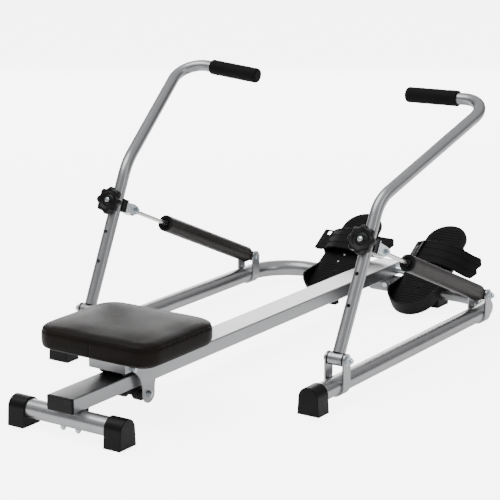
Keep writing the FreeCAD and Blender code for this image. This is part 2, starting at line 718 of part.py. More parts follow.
def make_knob(name, place):
    """Eight-lobed knob behind the lever and the stud that runs through the tube into the clevis."""
    level = Vector(0, 0, size("knob_rise"))
    face = level - Y * (size("lever_r") + 0.6)
    collar = rod("14", "8", face, -Y)
    disc = rod("28.5", "17", face - Y * 7, -Y)
    lobes = []
    for i in range(8):
        angle = i * math.pi / 4
        spoke = Vector(math.cos(angle), 0, math.sin(angle)) * 27
        lobes.append(rod("7", "17", face - Y * 7 + spoke, -Y))
    dish = cut(rod("19", "4", face - Y * 21, -Y), rod("11", "4", face - Y * 21, -Y))
    knob = cut(fuse(collar, disc, *lobes), dish, rod("stud_r", "40", face, -Y))
    node(knob, f"knob_{name}", place)
    outer_end = face - Y * 24
    stud = fuse(rod("stud_r", "62", outer_end, Y), rod("6", "1.5", outer_end, -Y))
    node(stud, f"knob_stud_{name}", place)


# ---------------------------------------------------------------- dampers
def make_damper(name, place, reach):
    """Cylinder hung on the anchor bolt and the rod that reaches back to the clevis pin.

    Own frame: origin on the anchor, Z towards the clevis pin, which is "reach" away.
    """
    shell = rod("damper_r", "damper_long - 14 - 6", Vector(0, 0, 14))
    lug = bar("13", "tube_r - 1", Vector(), X)
    bore = rod("damper_bore_r", "damper_long - 14 - 6", Vector(0, 0, 24))
    cross = bar("bolt_r + running", "40", Vector(), X)
    node(cut(fuse(shell, lug), bore, cross), f"damper_cylinder_{name}", place)

    end = size("damper_long")
    gland = fuse(rod("damper_r", "6", Vector(0, 0, end - 6)), rod("damper_bore_r", "12", Vector(0, 0, end - 18)))
    dish = cut(rod("13", "4", Vector(0, 0, end - 4)), rod("9", "4", Vector(0, 0, end - 4)))
    node(cut(gland, dish, rod("rod_r + running", "40", Vector(0, 0, end - 30))), f"damper_gland_{name}", place)

    eye_low = reach - 9.5
    eye = block("20", "2 * slot_half + 7", "19", Vector(0, 0, reach))
    slot = fuse(block("30", "2 * ( slot_half - 4.8 )", "9.6", Vector(0, 0, reach)),
                bar("4.8", "15", Vector(0, size("slot_half") - 4.8, reach), X),
                bar("4.8", "15", Vector(0, 4.8 - size("slot_half"), reach), X))
    soft_eye = rounded(eye, 6.0, lambda edge: edge.BoundBox.XLength > 15)
    shaft = rod("rod_r", "rod_long", Vector(0, 0, reach - size("rod_long")))
    trimmed = cut(shaft, block("30", "30", "40", Vector(0, 0, eye_low + 20)))
    node(cut(fuse(trimmed, soft_eye), slot), f"piston_rod_{name}", place)

    piston_z = reach - size("rod_long")
    piston = rod("damper_bore_r - 0.1", "16", Vector(0, 0, piston_z))
    node(cut(piston, rod("rod_r", "16", Vector(0, 0, piston_z))), f"piston_{name}", place)


def make_side(name, side):
    """Lever, knob, clevis and damper of one side, each in the pose where the rower reaches forward."""
    lean = size(f"lean_{name}")
    pivot = at(side * size("arm_x"), size("pivot_y"), size("pivot_z"))
    anchor = at(side * size("arm_x"), size("anchor_y"), size("anchor_z"))
    lever_place = Placement(pivot, Rotation(X, -lean))
    make_lever(name, side, lever_place)
    make_clevis(name, lever_place)
    make_knob(name, lever_place)
    pin = lever_place.multVec(Vector(0, size("pin_forward"), size("knob_rise")))
    toward = pin - anchor
    damper_place = Placement(anchor, Rotation(Z, toward))
    make_damper(name, damper_place, toward.Length)


# ---------------------------------------------------------------- foot plates
def sole_outline(drawing, inset, front_gap=0.0):
    """Foot plate outline: a round heel and a narrower round toe joined by straight sides."""
    heel_r = size("heel_half") - inset
    toe_r = size("toe_half") - inset
    heel_middle = size("heel_half") - size("pedal_heel")
    toe_middle = size("pedal_toe") - size("toe_half") + front_gap
    add_outline(drawing, [
        Vector(toe_r, toe_middle, 0),
        (Vector(0, toe_middle + toe_r, 0), Vector(-toe_r, toe_middle, 0)),
        Vector(-heel_r, heel_middle, 0),
        (Vector(0, heel_middle - heel_r, 0), Vector(heel_r, heel_middle, 0)),
    ])


def pedal_place(side):
    """Foot plates turn about the axle; their own frame has its origin on it and Z square to the sole."""
    return Placement(at(side * size("pedal_x") + size("pedal_shift"), size("axle_y"), size("axle_z")),
                     Rotation(X, size("pedal_tilt")))


def make_pedal(name, side):
    """Foot plate with a heel cup, two strap lugs and a hub on the cross axle."""
    low = size("sole_low")
    top = low + size("sole_thick")
    plate = new_body("Sole")
    outline = sketch(plate, "XY_Plane", "SoleOutline", low)
    sole_outline(outline, 0.0)
    pad(plate, outline, "sole_thick")

    cup = new_body("HeelCup")
    rim = sketch(cup, "XY_Plane", "Rim", low)
    sole_outline(rim, 0.0)
    pad(cup, rim, "sole_thick + cup_high")
    well = new_body("HeelWell")
    hollow = sketch(well, "XY_Plane", "Hollow", low)
    sole_outline(hollow, 4.0)
    pad(well, hollow, "sole_thick + cup_high + 1")
    ahead = block("200", "300", "200", Vector(0, 130, low + 60))
    slope = block("200", "300", "100", Vector())
    slope.Placement = Placement(Vector(-100, -110, top + size("cup_high") + 4.7), Rotation(X, -25))
    heel_wall = cut(cup, well, ahead, slope)

    strap_middle = size("strap_start") + size("strap_wide") / 2
    lugs = [block("5", "strap_wide + 8", "9.6", Vector(end * 62, strap_middle, low + 4.8)) for end in (-1, 1)]
    relief = bar("14.6", "100", Vector(), X)
    vent = rod("3.5", "60", Vector(0, -64, low - 20))
    shell = cut(fuse(plate, heel_wall, *lugs), relief, vent)
    hub = fuse(bar("13.5", "38", Vector(), X), block("76", "27", "sole_low + 5", Vector(0, 0, (low + 5) / 2)))
    node(cut(fuse(shell, hub), bar("axle_r + running", "60", Vector(), X)), f"pedal_{name}", pedal_place(side))


def band(line, radii):
    """Rubber band of even thickness along a line in the XZ plane, as wide as the instep strap."""
    path = bent_path(line, radii)
    edge = path.makeOffset2D(size("band_thick") / 2, 0, False, False, False)
    solid = doc.addObject("Part::Feature", "Band")
    solid.Shape = Part.Face(edge).extrude(Y * size("strap_wide"))
    solid.Placement.Base = Vector(0, size("strap_start"), 0)
    return solid


def make_pedal_strap(name, side):
    """Slack instep strap from the left lug over the sole and out past its right side, with its buckle frame.

    The right one's tail hangs down beside the sole; the left one's lies level, over the rail.
    """
    tail = [Vector(94, 0, 3), Vector(118, 0, -4)] if side > 0 else [Vector(122, 0, 22.5)]
    line = [Vector(-67, 0, 12), Vector(-67, 0, 25), Vector(-35, 0, 38), Vector(25, 0, 38), Vector(66, 0, 22.5), *tail]
    strap = band(line, (6, 30, 40, 24, 24))
    middle = size("strap_start") + size("strap_wide") / 2
    notch = rod("7", "80", Vector(126, middle + 2, -30))
    frame_long = "strap_wide - 6"
    frame = cut(block("32", frame_long, "4", Vector(-16, 0, 0)), block("9", "strap_wide - 26", "8", Vector(-21, 0, 0)))
    if side > 0:
        frame.Placement = Placement(Vector(-40, middle, 40), Rotation(Y, -26))
    else:
        frame.Placement = Placement(Vector(-66, middle, 22), Rotation())
    node(fuse(cut(strap, notch), frame), f"pedal_strap_{name}", pedal_place(side))


def make_pedal_axle():
    """Axle through the rail with two spacer sleeves and an end cap nut on each end."""
    centre = at(0, size("axle_y"), size("axle_z"))
    shift = size("pedal_shift")
    pieces = [bar("axle_r", "pedal_x + 46", centre + X * shift, X)]
    inner = size("rail_w") / 2
    for end in (-1, 1):
        hub_face = end * shift + size("pedal_x") - 38
        start = centre + X * end * inner
        sleeve = str(hub_face - 0.4 - inner)
        pieces.append(cut(rod("11", sleeve, start, X * end), rod("axle_r", sleeve, start, X * end)))
        stop = centre + X * (shift + end * (size("pedal_x") + 38.4))
        pieces.append(cut(hexagon("14", "7", stop, X * end), rod("axle_r", "7", stop, X * end)))
    node(group(*pieces), "pedal_axle")


make_rail()
make_rail_cap("rail_cap_rear", size("rail_back"), 90)
make_rail_cap("rail_cap_front", size("rail_front"), -90)
make_rear_end()
make_u_frame()
make_front_saddle()
make_brackets()
make_seat_stops()
make_seat()
make_carriage()
make_rollers()
make_side("left", -1)
make_side("right", 1)
make_pedal("left", -1)
make_pedal("right", 1)
make_pedal_strap("left", -1)
make_pedal_strap("right", 1)
make_pedal_axle()
doc.recompute()

# ---------------------------------------------------------------- checks and export
for item in doc.Objects:
    assert not {"Invalid", "Error"} & set(item.State), f"{item.Label} failed"
for item in NODES:
    assert not item.Shape.isNull(), f"{item.Label} is empty"
    assert item.Shape.isValid(), f"{item.Label} is not valid"
    assert item.Shape.Solids, f"{item.Label} has no solid"

os.makedirs("parts", exist_ok=True)
for item in NODES:
    item.Shape.exportStep(f"parts/{item.Label}.step")

overall = FreeCAD.BoundBox()
for item in NODES:
    overall.add(item.Shape.BoundBox)
print(f"{len(NODES)} sub-parts, overall {overall}")
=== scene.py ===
"""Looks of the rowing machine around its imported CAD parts. Metres, +Z up, +Y towards the foot plates."""
import json
import math

import bmesh
import bpy
import numpy as np
from mathutils import Matrix, Vector


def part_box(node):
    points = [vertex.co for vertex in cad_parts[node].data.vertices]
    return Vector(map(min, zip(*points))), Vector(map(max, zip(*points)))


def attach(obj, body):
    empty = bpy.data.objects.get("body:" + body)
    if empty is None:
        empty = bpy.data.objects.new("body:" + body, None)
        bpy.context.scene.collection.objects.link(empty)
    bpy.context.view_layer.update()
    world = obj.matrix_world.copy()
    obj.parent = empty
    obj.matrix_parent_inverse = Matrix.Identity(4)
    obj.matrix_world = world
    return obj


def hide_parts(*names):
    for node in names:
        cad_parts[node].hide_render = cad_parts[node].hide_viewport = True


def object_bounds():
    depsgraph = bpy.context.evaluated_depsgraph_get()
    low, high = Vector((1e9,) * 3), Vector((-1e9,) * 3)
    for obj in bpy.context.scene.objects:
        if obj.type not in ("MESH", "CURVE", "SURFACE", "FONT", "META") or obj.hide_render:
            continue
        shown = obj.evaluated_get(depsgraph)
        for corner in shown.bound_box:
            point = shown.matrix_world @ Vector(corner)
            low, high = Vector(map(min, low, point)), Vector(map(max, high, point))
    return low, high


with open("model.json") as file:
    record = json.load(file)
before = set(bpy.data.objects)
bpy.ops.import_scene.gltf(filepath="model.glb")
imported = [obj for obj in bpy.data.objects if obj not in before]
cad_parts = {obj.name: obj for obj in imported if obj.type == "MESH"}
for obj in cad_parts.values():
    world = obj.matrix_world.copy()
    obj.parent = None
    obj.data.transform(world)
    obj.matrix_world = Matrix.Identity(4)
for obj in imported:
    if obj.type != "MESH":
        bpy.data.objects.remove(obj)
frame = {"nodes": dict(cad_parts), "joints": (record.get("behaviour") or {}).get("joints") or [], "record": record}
cad_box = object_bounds()
NODES = frame["nodes"]
JOINTS = {j["name"]: j for j in frame["joints"]}
SIDES = (("left", -1), ("right", 1))

# ---------------------------------------------------------------- material helpers


class Look:
    """A node material being put together round one Principled shader."""

    def __init__(self, name, **constants):
        self.material = bpy.data.materials.new(name)
        self.material.use_nodes = True
        self.tree = self.material.node_tree
        self.shader = self.tree.nodes["Principled BSDF"]
        for socket, value in constants.items():
            self.shader.inputs[socket.replace("_", " ")].default_value = value
        self.where = self.add("ShaderNodeTexCoord").outputs["Object"]

    def add(self, kind, **settings):
        node = self.tree.nodes.new(kind)
        for key, value in settings.items():
            setattr(node, key, value)
        return node

    def link(self, a, b):
        self.tree.links.new(a, b)

    def stretched(self, scale):
        """Object coordinates scaled apart along the three axes."""
        mapping = self.add("ShaderNodeMapping")
        mapping.inputs["Scale"].default_value = scale
        self.link(self.where, mapping.inputs["Vector"])
        return mapping.outputs["Vector"]

    def noise(self, scale, detail=2.0, rough=0.5, vector=None):
        node = self.add("ShaderNodeTexNoise")
        node.inputs["Scale"].default_value = scale
        node.inputs["Detail"].default_value = detail
        node.inputs["Roughness"].default_value = rough
        self.link(vector or self.where, node.inputs["Vector"])
        return node.outputs["Fac"]

    def cells(self, scale, feature="F1"):
        node = self.add("ShaderNodeTexVoronoi", feature=feature)
        node.inputs["Scale"].default_value = scale
        self.link(self.where, node.inputs["Vector"])
        return node.outputs["Distance"]

    def spread(self, value, low, high, a=0.0, b=1.0):
        """value between low and high becomes a to b."""
        node = self.add("ShaderNodeMapRange")
        self.link(value, node.inputs["Value"])
        for socket, number in (("From Min", low), ("From Max", high), ("To Min", a), ("To Max", b)):
            node.inputs[socket].default_value = number
        return node.outputs["Result"]

    def ramp(self, value, *stops):
        node = self.add("ShaderNodeValToRGB")
        ramp = node.color_ramp
        while len(ramp.elements) < len(stops):
            ramp.elements.new(0.5)
        for element, (place, colour) in zip(ramp.elements, stops):
            element.position = place
            element.color = (*colour, 1)
        self.link(value, node.inputs["Fac"])
        return node.outputs["Color"]

    def mix(self, share, a, b):
        """Colour a goes to colour b with share."""
        node = self.add("ShaderNodeMix", data_type="RGBA")
        self.link(share, node.inputs["Factor"])
        for socket, colour in ((node.inputs[6], a), (node.inputs[7], b)):
            if isinstance(colour, tuple):
                socket.default_value = (*colour, 1)
            else:
                self.link(colour, socket)
        return node.outputs[2]

    def math(self, operation, a, b):
        node = self.add("ShaderNodeMath", operation=operation)
        for socket, value in zip(node.inputs, (a, b)):
            if isinstance(value, (int, float)):
                socket.default_value = value
            else:
                self.link(value, socket)
        return node.outputs[0]

    def worn(self, low=0.60, high=0.74):
        """1 on outside edges, 0 elsewhere."""
        geometry = self.add("ShaderNodeNewGeometry")
        edge = self.spread(geometry.outputs["Pointiness"], low, high)
        return self.math("MULTIPLY", edge, self.spread(self.noise(60, 3), 0.3, 0.6, 0.4, 1.0))

    def colour(self, output):
        self.link(output, self.shader.inputs["Base Color"])

    def roughness(self, output):
        self.link(output, self.shader.inputs["Roughness"])

    def bumps(self, *layers):
        """Each layer is a height output, its depth in metres and its strength."""
        last = None
        for height, depth, strength in layers:
            node = self.add("ShaderNodeBump")
            node.inputs["Strength"].default_value = strength
            node.inputs["Distance"].default_value = depth
            self.link(height, node.inputs["Height"])
            if last:
                self.link(last, node.inputs["Normal"])
            last = node.outputs["Normal"]
        self.link(last, self.shader.inputs["Normal"])


def silver_look():
    """Silver powder coat: fine metal flake under a satin clear layer, even over the whole tube."""
    look = Look("silver_paint", Metallic=0.92, Coat_Weight=0.15, Coat_Roughness=0.22)
    flake = look.noise(1800, 2)
    base = look.ramp(look.noise(5, 2), (0.3, (0.270, 0.275, 0.282)), (0.7, (0.285, 0.290, 0.297)))
    base = look.mix(look.spread(flake, 0.3, 0.7, 0.0, 0.10), base, (0.46, 0.46, 0.47))
    look.colour(look.mix(look.worn(), base, (0.46, 0.46, 0.47)))
    look.roughness(look.spread(look.noise(30, 2), 0.3, 0.7, 0.29, 0.32))
    look.bumps((look.noise(260, 2), 0.0001, 0.03))
    return look.material


def zinc_look():
    """Blue passivated zinc plate."""
    look = Look("zinc", Metallic=1.0)
    patch = look.noise(120, 4, 0.6)
    base = look.ramp(patch, (0.25, (0.36, 0.42, 0.47)), (0.55, (0.52, 0.57, 0.60)),
                     (0.8, (0.60, 0.60, 0.54)))
    look.colour(look.mix(look.worn(), base, (0.78, 0.78, 0.77)))
    look.roughness(look.spread(look.noise(300, 3), 0.3, 0.7, 0.18, 0.32))
    look.bumps((look.noise(900, 3), 0.0002, 0.15))
    return look.material


def chrome_look():
    """Ground and chromed rod, its faint lines along the damper."""
    look = Look("rod_chrome", Metallic=1.0)
    drawn = look.noise(30, 4, 0.6, look.stretched((60, 1, 1)))
    look.colour(look.ramp(drawn, (0.3, (0.74, 0.73, 0.71)), (0.7, (0.86, 0.85, 0.82))))
    look.roughness(look.spread(drawn, 0.3, 0.7, 0.22, 0.30))
    look.bumps((drawn, 0.0001, 0.10))
    return look.material


def steel_look():
    """Turned steel, not plated."""
    look = Look("piston_steel", Metallic=1.0)
    turned = look.noise(900, 3)
    look.colour(look.ramp(turned, (0.3, (0.42, 0.42, 0.43)), (0.7, (0.55, 0.55, 0.56))))
    look.roughness(look.spread(turned, 0.3, 0.7, 0.3, 0.42))
    look.bumps((turned, 0.0002, 0.2))
    return look.material


def black_look(name, dark, light, rough, grain, depth, strength, specular):
    """Black plastic, rubber or paint: fine grain, a little dust and paler outside edges."""
    look = Look(name, Specular_IOR_Level=specular)
    base = look.ramp(look.noise(14, 3, 0.5), (0.3, dark), (0.75, light))
    edge = tuple(c * 2.2 + 0.003 for c in light)
    look.colour(look.mix(look.worn(), base, edge))
    look.roughness(look.spread(look.noise(60, 3), 0.3, 0.7, rough - 0.03, rough + 0.04))
    look.bumps((look.noise(grain, 3, 0.6), depth, strength), (look.cells(grain * 0.6), depth, strength * 0.5))
    return look.material


def vinyl_look():
    """Grained upholstery vinyl with a soft sheen and faint creases, its grain valleys darkened with painted shade.
    """
    look = Look("vinyl", Sheen_Weight=0.01, Sheen_Roughness=0.4, Specular_IOR_Level=0.06)
    grain = look.cells(620, "DISTANCE_TO_EDGE")
    pores = look.noise(1500, 3, 0.6)
    cloudy = look.noise(14, 4, 0.55)
    base = look.ramp(cloudy, (0.3, (0.0070, 0.0053, 0.0044)), (0.7, (0.0108, 0.0079, 0.0064)))
    # painted shade: the low lines between the grain cells are coloured darker, as if shadowed
    valley_shade = look.spread(grain, 0.0, 0.12, 0.55, 0.0)
    look.colour(look.mix(valley_shade, base, (0.004, 0.0036, 0.0034)))
    look.roughness(look.spread(cloudy, 0.3, 0.7, 0.31, 0.39))
    creases = look.noise(42, 3, 0.5, look.stretched((1.0, 0.35, 1.0)))
    look.bumps((look.spread(grain, 0.0, 0.25), 0.0004, 0.22), (pores, 0.0002, 0.2), (creases, 0.002, 0.10))
    return look.material


def board_look():
    """Plywood stained black, its grain along the machine."""
    look = Look("board", Specular_IOR_Level=0.35)
    rings = look.noise(38, 6, 0.65, look.stretched((9, 1, 9)))
    pores = look.noise(420, 3, 0.6, look.stretched((8, 1, 8)))
    base = look.ramp(rings, (0.3, (0.008, 0.006, 0.005)), (0.55, (0.016, 0.012, 0.009)),
                     (0.8, (0.024, 0.018, 0.013)))
    look.colour(look.mix(look.spread(pores, 0.35, 0.6, 0.5, 0.0), base, (0.005, 0.004, 0.003)))
    look.roughness(look.spread(rings, 0.3, 0.7, 0.55, 0.7))
    look.bumps((pores, 0.0004, 0.3))
    return look.material


BLACK = (0.0024, 0.0024, 0.0024)
SOFT_BLACK = (0.0046, 0.0045, 0.0044)
BROWN_BLACK = (0.0085, 0.0062, 0.0054)
PALE_BROWN_BLACK = (0.0115, 0.0086, 0.0076)
# dark and light colour, roughness, grain per metre, its depth and strength, specular level
BLACKS = {
    "damper_black": (BROWN_BLACK, PALE_BROWN_BLACK, 0.38, 500, 0.0002, 0.05, 0.20),
    "black_plastic": (BLACK, SOFT_BLACK, 0.40, 900, 0.0003, 0.2, 0.13),
    "knob_plastic": (BLACK, SOFT_BLACK, 0.30, 700, 0.0002, 0.08, 0.20),
    "pedal_plastic": (BLACK, SOFT_BLACK, 0.42, 800, 0.0004, 0.25, 0.09),
    "strap_rubber": (BLACK, SOFT_BLACK, 0.50, 600, 0.0004, 0.25, 0.09),
    "stop_rubber": (BLACK, SOFT_BLACK, 0.60, 500, 0.0005, 0.3, 0.1),
    "grip_foam": (BLACK, SOFT_BLACK, 0.66, 1400, 0.0006, 0.6, 0.1),
    "roller_plastic": (BLACK, SOFT_BLACK, 0.38, 900, 0.0002, 0.15, 0.12),
    "bush_plastic": (BLACK, SOFT_BLACK, 0.40, 900, 0.0002, 0.15, 0.12),
}
LOOKS = {
    "silver_paint": silver_look(),
    "zinc": zinc_look(),
    "rod_chrome": chrome_look(),
    "piston_steel": steel_look(),
    "vinyl": vinyl_look(),
    "board": board_look(),
}
for slot_name, numbers in BLACKS.items():
    LOOKS[slot_name] = black_look(slot_name, *numbers)

for entry in frame["record"]["subparts"]:
    mesh = NODES[entry["node"]].data
    mesh.materials.clear()
    mesh.materials.append(LOOKS[entry["material_slot"]])

# ---------------------------------------------------------------- mesh helpers
MM = 0.001
CORNER_STEPS = 24


def rounded_ring(half_x, half_y, corner, count):
    """count points evenly spaced round a rectangle with rounded corners, from its +X side."""
    outline = []
    for turn, (sx, sy) in enumerate(((1, 1), (-1, 1), (-1, -1), (1, -1))):
        for step in range(CORNER_STEPS + 1):
            angle = (turn + step / CORNER_STEPS) * math.pi / 2
            outline.append((sx * (half_x - corner) + corner * math.cos(angle),
                            sy * (half_y - corner) + corner * math.sin(angle)))
    return spaced(np.array(outline + outline[:1]), count, closed=True)


def spaced(points, count, closed=False):
    """count points evenly spaced along a line of points."""
    along = np.concatenate(([0], np.cumsum(np.linalg.norm(np.diff(points, axis=0), axis=1))))
    places = np.linspace(0, along[-1], count, endpoint=not closed)
    return np.stack([np.interp(places, along, points[:, k]) for k in range(points.shape[1])], axis=1)


def add_loft(bm, rings):
    """Adds a closed skin through rings of equal length, with a face over each end."""
    loops = [[bm.verts.new(point) for point in ring] for ring in rings]
    for lower, upper in zip(loops, loops[1:]):
        for i, corner in enumerate(lower):
            after = (i + 1) % len(lower)
            bm.faces.new((corner, lower[after], upper[after], upper[i]))
    bm.faces.new(loops[0][::-1])
    bm.faces.new(loops[-1])


def place_object(name, bm):
    """Turns a bmesh into an object of the scene."""
    mesh = bpy.data.meshes.new(name)
    bm.to_mesh(mesh)
    bm.free()
    holder = bpy.data.objects.new(name, mesh)
    bpy.context.scene.collection.objects.link(holder)
    return holder


def place_lofts(name, *lofts):
    """One object made of closed skins, each given as its rings."""
    bm = bmesh.new()
    for rings in lofts:
        add_loft(bm, rings)
    bmesh.ops.recalc_face_normals(bm, faces=bm.faces)
    return place_object(name, bm)


def baked(holder):
    """The object's mesh with its modifiers applied and taken off."""
    bpy.context.view_layer.update()
    mesh = bpy.data.meshes.new_from_object(holder.evaluated_get(bpy.context.evaluated_depsgraph_get()))
    holder.modifiers.clear()
    holder.data = mesh
    return holder


def modifier(holder, kind, **settings):
    """Adds a modifier with its settings."""
    made = holder.modifiers.new(kind.lower(), kind)
    for key, value in settings.items():
        setattr(made, key, value)
    return made


def settled(holder, body, slot, *nodes):
    """Gives a finished piece its finish and its body, and takes the CAD nodes' place."""
    holder.data.materials.clear()
    holder.data.materials.append(LOOKS[slot])
    holder.data.polygons.foreach_set("use_smooth", [True] * len(holder.data.polygons))
    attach(holder, body)
    if nodes:
        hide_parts(*nodes)
    return holder


def node_points(name):
    """A CAD node's vertices as an array."""
    mesh = NODES[name].data
    points = np.empty(len(mesh.vertices) * 3)
    mesh.vertices.foreach_get("co", points)
    return points.reshape(-1, 3)


def along_node(name, towards):
    """Start, direction and length of a long round node, the direction on the same side as towards."""
    low, high = (Vector(corner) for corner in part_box(name))
    middle = (low + high) / 2
    points = node_points(name) - np.array(middle)
    direction = Vector(np.linalg.svd(points, full_matrices=False)[2][0])
    if direction.dot(towards) < 0:
        direction.negate()
    reach = points @ np.array(direction)
    return middle + direction * float(reach.min()), direction, float(reach.max() - reach.min())


def turned(profile, start, direction, steps=64):
    """Rings turned round an axis from (distance along, radius) pairs."""
    turn = direction.to_track_quat("Z", "Y").to_matrix()
    rings = []
    for height, radius in profile:
        ring = []
        for step in range(steps):
            angle = 2 * math.pi * step / steps
            place = Vector((radius * math.cos(angle), radius * math.sin(angle), height))
            ring.append(start + turn @ place)
        rings.append(ring)
    return rings


def stitch(bm, start, end):
    """Adds one thread stitch between two points."""
    length = (end - start).length
    profile = [(length * share, THREAD_RADIUS * width) for share, width in STITCH_SHAPE]
    add_loft(bm, turned(profile, start, (end - start).normalized(), STITCH_SIDES))


# ---------------------------------------------------------------- seat
SEAT_LOW, SEAT_HIGH = (Vector(corner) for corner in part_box("seat_cushion"))
SEAT_MIDDLE = (SEAT_LOW + SEAT_HIGH) / 2
SEAT_HALF_X = (SEAT_HIGH.x - SEAT_LOW.x) / 2
SEAT_HALF_Y = (SEAT_HIGH.y - SEAT_LOW.y) / 2
SEAT_CORNER = 0.046

# the foam before it is covered, as (inset, rise) rows
BLANK_ROWS = ((0.009, 0.0002), (0.0045, 0.003), (0.003, 0.012), (0.003, 0.034), (0.004, 0.041),
              (0.008, 0.0455), (0.016, 0.0475))
BLANK_POINTS = 160
CORNER_TAPER = 0.3

# the cover's swelling
VOXEL = 0.005
HELD_RISE = 0.004
PRESSURE = 4
STRETCH_STIFFNESS = 40
BEND_STIFFNESS = 5
CLOTH_FRAMES = 20
SEAT_CAP = 0.010
EVENING = 70
SEAT_CROWN = 0.004

# seams: depth and half width of the grooves, and the low welt above the upper one
SEAM_RISE = 0.039
SEAM_DEPTH = 0.0017
SEAM_WIDTH = 0.0022
PUCKERS = ((0.22, 58, 0), (0.15, 23, 1.3))
BACK_SEAM_DEPTH = 0.0013
BACK_SEAM_START = 0.003
WELT_HEIGHT = 0.0006
WELT_RISE = 0.006
WELT_WIDTH = 0.003
STEEPNESS = 1.3

# thread
THREAD_RADIUS = 0.00045
STITCH_SIDES = 6
STITCH_SHAPE = ((0.0, 0.35), (0.15, 1.0), (0.85, 1.0), (1.0, 0.35))
STITCH_PLACES = 320
STITCH_LIFT = 0.0001
ROW_OFFSET = 0.0036
UPRIGHT_OFFSET = 0.0038
UPRIGHT_STITCH = 0.0033
UPRIGHT_RISES_MM = range(5, 33, 5)
OUTSIDE = 1.3


def seat_blank():
    """The foam before it is covered: a slightly small rounded block."""
    rings = []
    for inset, rise in BLANK_ROWS:
        ring = rounded_ring(SEAT_HALF_X - inset, SEAT_HALF_Y - inset, SEAT_CORNER - inset * CORNER_TAPER,
                            BLANK_POINTS)
        height = SEAT_LOW.z + rise
        rings.append([Vector((x + SEAT_MIDDLE.x, y + SEAT_MIDDLE.y, height)) for x, y in ring])
    return place_lofts("seat_pad", rings)


def evened(mesh, move):
    """Each point's move drawn halfway to the mean of its neighbours' moves."""
    edges = np.empty(len(mesh.edges) * 2, np.int64)
    mesh.edges.foreach_get("vertices", edges)
    edges = edges.reshape(-1, 2)
    count = len(mesh.vertices)
    ends = np.concatenate((edges[:, 0], edges[:, 1]))
    others = np.concatenate((edges[:, 1], edges[:, 0]))
    share = np.maximum(np.bincount(ends, minlength=count), 1)
    mean = np.stack([np.bincount(ends, move[others, k], count) / share for k in range(3)], axis=1)
    return (move + mean) / 2


def points_of(holder):
    """An object's vertices as an array."""
    return np.array([vertex.co for vertex in holder.data.vertices])


def normals_of(holder):
    """An object's vertex normals as an array."""
    return np.array([vertex.normal for vertex in holder.data.vertices])


def simulated(holder):
    """Runs the cover as cloth under a little pressure, its underside held."""
    held = holder.vertex_groups.new(name="held")
    low = np.flatnonzero(points_of(holder)[:, 2] < SEAT_LOW.z + HELD_RISE)
    held.add([int(i) for i in low], 1.0, "REPLACE")
    cloth = modifier(holder, "CLOTH").settings
    cloth.use_pressure = True
    cloth.uniform_pressure_force = PRESSURE
    cloth.effector_weights.gravity = 0
    cloth.vertex_group_mass = "held"
    cloth.tension_stiffness = STRETCH_STIFFNESS
    cloth.compression_stiffness = STRETCH_STIFFNESS
    cloth.bending_stiffness = BEND_STIFFNESS
    for number in range(1, CLOTH_FRAMES + 1):
        bpy.context.scene.frame_set(number)
    baked(holder)
    bpy.context.scene.frame_set(1)


def inflate(holder):
    """Lets the cover swell outwards, each point moving at most SEAT_CAP."""
    modifier(holder, "REMESH", mode="VOXEL", voxel_size=VOXEL)
    baked(holder)
    rest = points_of(holder)
    outwards = normals_of(holder)
    simulated(holder)
    move = outwards * np.maximum(0, ((points_of(holder) - rest) * outwards).sum(axis=1, keepdims=True))
    far = np.linalg.norm(move, axis=1, keepdims=True)
    move *= SEAT_CAP * np.tanh(far / SEAT_CAP) / np.maximum(far, 1e-9)
    for _ in range(EVENING):
        move = evened(holder.data, move)
    holder.data.vertices.foreach_set("co", (rest + move).ravel())
    modifier(holder, "SMOOTH", factor=0.5, iterations=3)
    modifier(holder, "SUBSURF", levels=1, render_levels=1)
    baked(holder)
    points = points_of(holder)
    low, high = points.min(axis=0), points.max(axis=0)
    share = (points - low) / (high - low)
    wanted = np.array(SEAT_HIGH - SEAT_LOW) + np.array((0, 0, SEAT_CROWN))
    holder.data.vertices.foreach_set("co", (np.array(SEAT_LOW) + share * wanted).ravel())
    holder.data.update()


def hump(distance, width):
    """1 at no distance, falling off smoothly over width."""
    return np.exp(-(distance / width) ** 2)


def sew(holder):
    """Sinks the seams into the cover: one all round under the top panel, one upright at the back."""
    normals = normals_of(holder)
    points = points_of(holder)
    rise = points[:, 2] - SEAT_LOW.z
    from_middle = points[:, 0] - SEAT_MIDDLE.x
    side = np.clip(STEEPNESS - np.abs(normals[:, 2]) * STEEPNESS, 0, 1)
    turn = np.arctan2(points[:, 1] - SEAT_MIDDLE.y, from_middle)
    pucker = 1
    for share, waves, phase in PUCKERS:
        pucker = pucker + share * np.sin(turn * waves + phase)
    sink = SEAM_DEPTH * hump(rise - SEAM_RISE, SEAM_WIDTH) * pucker * side
    at_back = (points[:, 1] < SEAT_MIDDLE.y) & (rise < SEAM_RISE) & (rise > BACK_SEAM_START)
    sink += BACK_SEAM_DEPTH * hump(from_middle, SEAM_WIDTH) * at_back * side
    sink -= WELT_HEIGHT * hump(rise - SEAM_RISE - WELT_RISE, WELT_WIDTH) * side
    holder.data.vertices.foreach_set("co", (points - normals * sink[:, None]).ravel())
    holder.data.update()


